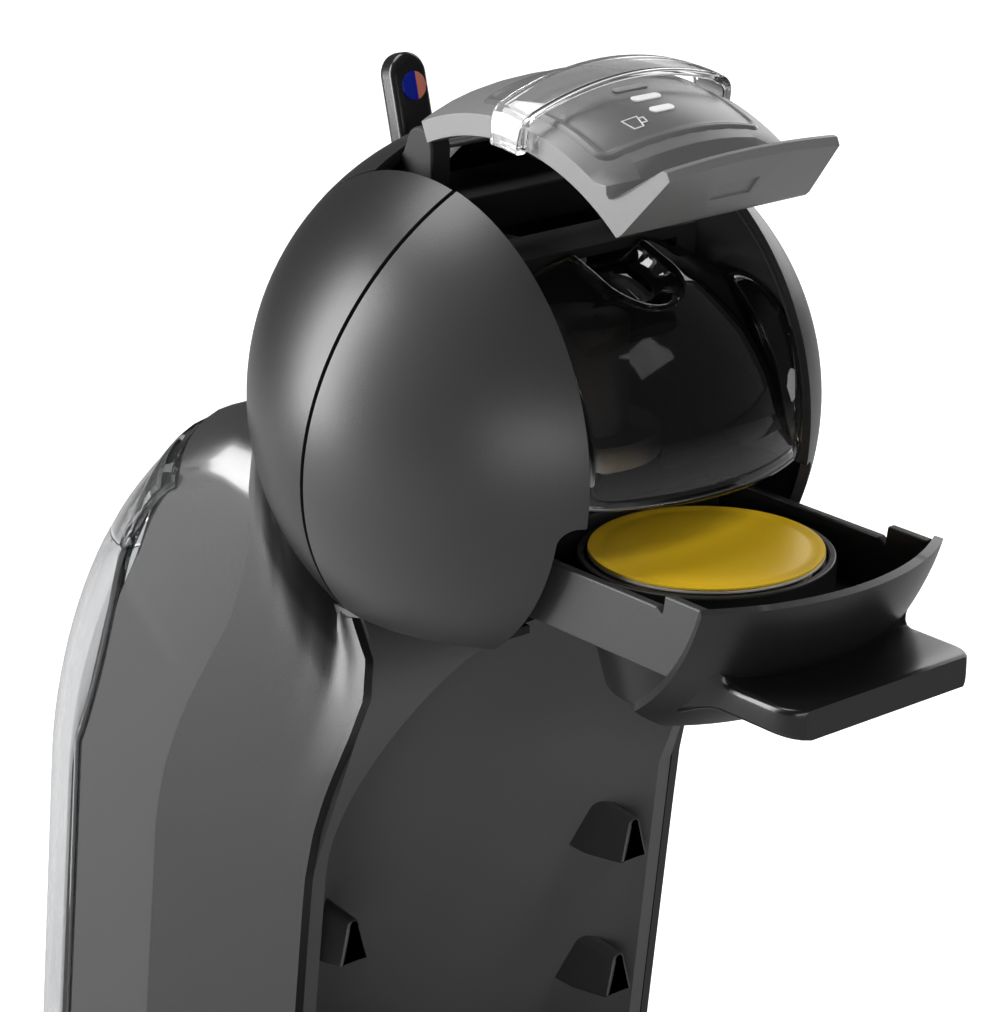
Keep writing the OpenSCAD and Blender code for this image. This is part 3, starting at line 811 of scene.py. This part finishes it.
def makeArmPanel():
    panel = {"half": 24.5, "low": 9.6, "high": 46.2, "corner": 4.0, "rib": 1.5, "height": 0.75}
    middle = (panel["low"] + panel["high"]) / 2
    perDegree = math.radians(1) * armTop
    halfRun = (panel["high"] - panel["low"]) / 2 * perDegree

    def place(u, v):
        x = (2 * u - 1) * panel["half"]
        run = (2 * v - 1) * halfRun
        dx = abs(x) - panel["half"] + panel["corner"]
        dy = abs(run) - halfRun + panel["corner"]
        inside = panel["corner"] - math.hypot(max(dx, 0), max(dy, 0)) - min(max(dx, dy), 0)
        rim = smooth(inside / panel["rib"])
        hollow = 1 - 0.65 * smooth((inside - 1.6) / 1.3)
        height = panel["height"] * rim * hollow - 0.2
        return armPoint(x, crowned(x, armTop + height), middle + run / perDegree)

    bm = openArm(sheet(90, 90, place))
    makePiece(bm, "arm_panel_cover", armTopGrey, "locking_arm_body", ("arm_panel",), wall=0.6, angle=60)


def makeArmMarks():
    marks = {"first": 29.4, "step": 4.3, "half": 5.0, "cup": 40.0}
    for i in range(3):
        half = marks["half"] - 0.8 * i
        bm = prism(roundRect(-half, half, -1.15, 1.15, 1.1), [0, 0.5], "z")
        degrees = marks["first"] + marks["step"] * i
        bmesh.ops.rotate(bm, verts=bm.verts, cent=(0, 0, 0),
                         matrix=Matrix.Rotation(math.radians(degrees), 3, "X"))
        bmesh.ops.translate(bm, verts=bm.verts, vec=armPoint(0, armTop - 0.1, degrees))
        glow = iconDim if i == 0 else iconWhite
        makePiece(openArm(bm), "light_bar_%d" % (i + 1), glow, "locking_arm_body", ("light_bars",),
                  bevel=0.2)
    cup = [(-2.1, 1.9), (-1.3, -1.7), (1.3, -1.7), (2.1, 1.9)]
    grip = [(1.9, 1.1), (3.3, 1.1), (3.1, -0.6), (1.55, -0.6)]
    lines = []
    for path, closed in ((cup, True), (grip, False)):
        places = []
        for x, y in path:
            x -= 10
            places.append(armPoint(x, crowned(x, armTop + 0.15), marks["cup"] - y * 0.8))
        lines.append(bead(places, 0.2, closed))
    makePiece(openArm(joined(lines)), "cup_mark", iconWhite, "locking_arm_body")


def makeCollar():
    collar = {"half": 31.8, "foot": 62.4, "top": 77.6, "inner": 28.9, "innerTop": 75.6, "start": 21.0,
              "sweep": 9.0, "edge": 0.8}

    def arch(half, radius, corner):
        # Upright sides, round corners and a crowned top, from left to right.
        edge = half - corner
        turn = math.degrees(math.asin(edge / (radius - corner)))
        middle = math.sqrt((radius - corner) ** 2 - edge * edge)
        top = [(x * (edge + corner * math.sin(math.radians(turn))) / 9, 0) for x in range(-8, 9)]
        top = [(x, crowned(x, radius)) for x, z in top]
        return ([(-half, collar["foot"])] + arc(-edge, middle, corner, 180, 90 + turn) + top
                + arc(edge, middle, corner, 90 - turn, 0) + [(half, collar["foot"])])

    outer = arch(collar["half"], collar["top"], 5)
    inner = list(reversed(arch(collar["inner"], collar["innerTop"], 3)))
    bm = bmesh.new()
    first = math.radians(collar["start"])
    ring = [bm.verts.new((x, -r * math.sin(first), r * math.cos(first))) for x, r in outer + inner]
    edges = [bm.edges.new(pair) for pair in zip(ring, ring[1:] + ring[:1])]
    ends = edges[:]
    made = bmesh.ops.spin(bm, geom=ring + edges, cent=(0, 0, 0), axis=(1, 0, 0),
                          angle=math.radians(collar["sweep"]), steps=8)
    ends += [g for g in made["geom_last"] if isinstance(g, bmesh.types.BMEdge)]
    bmesh.ops.holes_fill(bm, edges=ends)
    makePiece(openArm(bm), "volume_collar_clear", clearCollar, "collar_body", ("volume_collar",),
              bevel=collar["edge"], segments=4)


def makeLever():
    lever = {"half": 5.25, "front": 41.0, "back": 48.0, "low": 32.0, "high": 69.0, "edge": 2.2,
             "bendY": 44.5, "bendZ": 50, "badge": 3.5, "badgeZ": 66}
    bend = math.radians(-14)

    def leaned(bm):
        # The upper part leans back from the bend.
        for z in (44, 47, 50, 53, 56):
            splitPlane(bm, (0, 0, z), (0, 0, 1))
        for v in bm.verts:
            turn = bend * smooth((v.co.z - 44) / 12)
            y, rise = v.co.y - lever["bendY"], max(v.co.z - lever["bendZ"], 0)
            v.co.y = lever["bendY"] + y * math.cos(turn) - rise * math.sin(bend)
            v.co.z = min(v.co.z, lever["bendZ"]) + rise * math.cos(bend) + y * math.sin(turn)
        return bm

    foot = [(-lever["half"], lever["low"]), (lever["half"], lever["low"])]
    points = arc(0, lever["high"], lever["half"], 0, 180, 16) + foot
    bm = leaned(prism(points, [lever["front"], lever["back"]], "y"))
    makePiece(bm, "temperature_lever_bar", leverBlack, "lever_body", ("temperature_lever",),
              bevel=lever["edge"], segments=4)
    for name, side, material in (("cold", 1, badgeBlue), ("hot", -1, badgeCoral)):
        disc = prism(arc(0, lever["badgeZ"], lever["badge"], 0, 360, 36)[:-1], [40.7, 41.3], "y")
        cutPlane(disc, (0.7, 0, 0), (side, 0, 0))
        leaned(disc)
        makePiece(disc, "lever_mark_" + name, material, "lever_body", ("lever_badge",), bevel=0.15)


makeArm()
makeArmPanel()
makeArmMarks()
makeCollar()
makeLever()
print("arm and lever made")


# Drawer
drawer = {"bowlY": -60.7, "fasciaY": -44.5, "podTop": -21.2}


def makeDrawer():
    side = {"out": 35.2, "in": 33.0, "low": -36.0, "high": -20.4, "lug": -17.2, "back": -28.0}

    def frontAt(x, z):
        return drawer["fasciaY"] - math.sqrt((head["radius"] - 2) ** 2 - x * x - z * z)

    wallLine = [(side["back"], side["low"]), (side["back"], side["high"]), (-82.5, side["high"]),
                (-84.5, side["high"] - 1.2), (-85.2, side["lug"])]
    wallLine += [(frontAt(side["out"], z), z) for z in (side["lug"], -21, -25, -29, -33, side["low"])]
    left = prism(wallLine, [-side["out"], -side["in"]])
    right = mirrored(left)
    back = prism([(side["back"], side["low"]), (side["back"], side["high"]), (-30, side["high"]),
                  (-30, side["low"])], [-side["in"], side["in"]])
    plate = prism([(-35, side["back"]), (35, side["back"])]
                  + [(x, frontAt(x, -36)) for x in range(35, -36, -5)], [side["low"], side["low"] + 2], "z")
    hole = prism(arc(0, drawer["bowlY"], 26, 0, 360, 64)[:-1], [-40, -30], "z")
    plate = subtract(plate, [hole])
    bowl = turned([(22.6, -54), (27.4, -35), (29.5, -34.6), (29.5, -22.4), (27.6, -22.4), (27.6, -24.4),
                   (25.6, -24.4), (20.8, -52), (5, -52), (5, -54), (22.6, -54)], (0, drawer["bowlY"], 0),
                   steps=96)
    makePiece(joined([left, right, back]), "pod_drawer_sides", drawerSide, "drawer_body", ("pod_drawer",),
              bevel=0.5)
    makePiece(joined([plate, bowl]), "pod_drawer_bowl", drawerSatin, "drawer_body", ("pod_drawer",),
              bevel=0.5)


def makeFascia():
    fascia = {"half": 37.0, "top": -17.2, "low": -52.0, "wall": 2.2, "edge": 0.7}
    bm = ball(head["radius"], 160, 120, (0, drawer["fasciaY"], 0))
    cutPlane(bm, (-fascia["half"], 0, 0), (-1, 0, 0), fill=False)
    cutPlane(bm, (fascia["half"], 0, 0), (1, 0, 0), fill=False)
    cutPlane(bm, (0, 0, fascia["top"]), (0, 0, 1), fill=False)
    cutPlane(bm, (0, 0, fascia["low"]), (0, 0, -1), fill=False)
    cutPlane(bm, (0, -78, 0), (0, 1, 0), fill=False)
    makePiece(bm, "drawer_fascia_front", drawerSatin, "drawer_body", ("drawer_fascia",),
              bevel=fascia["edge"], wall=fascia["wall"])


def makeHandle():
    handle = {"half": 28.0, "low": -43.0, "top": -36.0, "flare": 4.5, "corner": 1.6, "nose": 4.5}
    runs = [-0.06, 0, 0.015, 0.04, 0.08, 0.13, 0.2, 0.35, 0.55, 0.7, 0.8, 0.88, 0.94, 0.98, 1.0]
    section = roundRect(-handle["half"], handle["half"], handle["low"], handle["top"], handle["corner"], 5)
    middle = (handle["low"] + handle["top"]) / 2
    bm = prism(section, runs, "y")
    for v in bm.verts:
        run = v.co.y
        flare = roundOff(max(run, 0) * 22, handle["flare"])
        x, z = v.co.x, v.co.z
        x += math.copysign(flare, x) * smooth((abs(x) - 20) / 8)
        z += math.copysign(flare, z - middle)
        nose = roundOff((1 - run) * 22, handle["nose"])
        x -= math.copysign(nose * 0.75, x) * smooth((abs(x) - 18) / 10)
        root = drawer["fasciaY"] - math.sqrt(max(head["radius"] ** 2 - x * x - z * z, 1)) + 0.4
        front = -64 - math.sqrt(3600 - x * x)
        v.co = (x, root + (front - root) * run, z)
    makePiece(bm, "drawer_handle_grip", handleGloss, "drawer_body", ("drawer_handle",), bevel=1.0,
              segments=3)


def makePod():
    top = drawer["podTop"]
    foil = turned([(0, top + 0.25), (16, top + 0.15), (23.2, top), (24.2, top - 0.25), (25.2, top),
                   (26.9, top), (27.0, top - 0.4), (0, top - 0.5)], (0, drawer["bowlY"], 0), steps=96)
    makePiece(foil, "pod_foil", foilYellow, "drawer_body", ("pod_lid",), angle=50)
    cup = turned([(0, -51), (19, -51), (20, -50), (24.8, top - 2), (27, top - 1.3), (27, top - 0.6),
                  (23.8, top - 0.55), (19, -49.8), (0, -49.8)], (0, drawer["bowlY"], 0), steps=96)
    makePiece(cup, "pod_shell", podCream, "drawer_body", ("pod_cup",), bevel=0.2)


makeDrawer()
makeFascia()
makeHandle()
makePod()
print("drawer made")


# Cup tray hooks
def makeHooks():
    hook = {"x": 46.0, "heights": (-134.7, -176.0), "taper": 0.66, "reach": 12.0}
    tent = [(-6.6, -7), (-2.6, 5.4), (-1.2, 6.6), (1.2, 6.6), (2.6, 5.4), (6.6, -7), (4.4, -7), (1.4, 3.8),
            (-1.4, 3.8), (-4.4, -7)]
    parts = []
    for side in (-1, 1):
        for height in hook["heights"]:
            depth = (-119 - height) * math.tan(lean) - 26
            wallY = depth + math.sqrt(67 ** 2 - hook["x"] ** 2)
            bm = prism(tent, [-2.5, 0, 0.5, 1], "y")
            for v in bm.verts:
                run = v.co.y
                narrow = 1 - (1 - hook["taper"]) * min(max(run, 0), 1)
                v.co = (side * hook["x"] + v.co.x * narrow,
                        wallY - run * hook["reach"] * (0.4 if run < 0 else 1),
                        height + v.co.z * (1 - 0.12 * max(run, 0)))
            parts.append(bm)
    makePiece(joined(parts), "tray_hooks_set", hookSatin, "machine", ("tray_hooks",), bevel=0.9, segments=3)


makeHooks()


# Parts whose own shape is right: a softened copy of each, or the part itself with its finish
def softened(name, material, body, bevel):
    bm = bmesh.new()
    bm.from_mesh(nodes[name].data)
    bmesh.ops.remove_doubles(bm, verts=bm.verts, dist=0.00001)
    bmesh.ops.dissolve_limit(bm, angle_limit=math.radians(1), verts=bm.verts, edges=bm.edges)
    bmesh.ops.translate(bm, verts=bm.verts, vec=(0, -head["y"] / 1000, -head["z"] / 1000))
    bmesh.ops.scale(bm, verts=bm.verts, vec=(1000, 1000, 1000))
    makePiece(bm, name + "_soft", material, body, (name,), bevel=bevel, segments=2, merge=0.01)


for name, material, body, bevel in (
        ("foot_base", trimBlack, "machine", 1.2), ("drip_tray", trimBlack, "tray_body", 0.8),
        ("cup_grid", steel, "grid_body", 0.4), ("rubber_feet", rubberBlack, "machine", 0.6)):
    softened(name, material, body, bevel)

nodeMaterials = {
    "bottom_plate": trimBlack, "base_screws": steel, "head_floor": innerBlack, "drawer_rails": innerBlack,
    "brew_frame": innerBlack, "injector": castAlloy, "needle": steel,
    "brew_hose": silicone, "thermoblock": castAlloy, "pump": pumpBrown, "pump_mounts": rubberBlack,
    "pump_hose": silicone, "inlet_hose": silicone, "control_board": boardGreen, "selector_valve": valveBlue,
    "tank_seat": trimBlack, "tank_seal": sealRed, "cord_gland": rubberBlack, "power_button": steel,
    "arm_latch": steel, "tank_valve": podCream,
}
for name, material in nodeMaterials.items():
    mesh = nodes[name].data
    mesh.materials.clear()
    mesh.materials.append(material)
print("carried-over nodes painted")
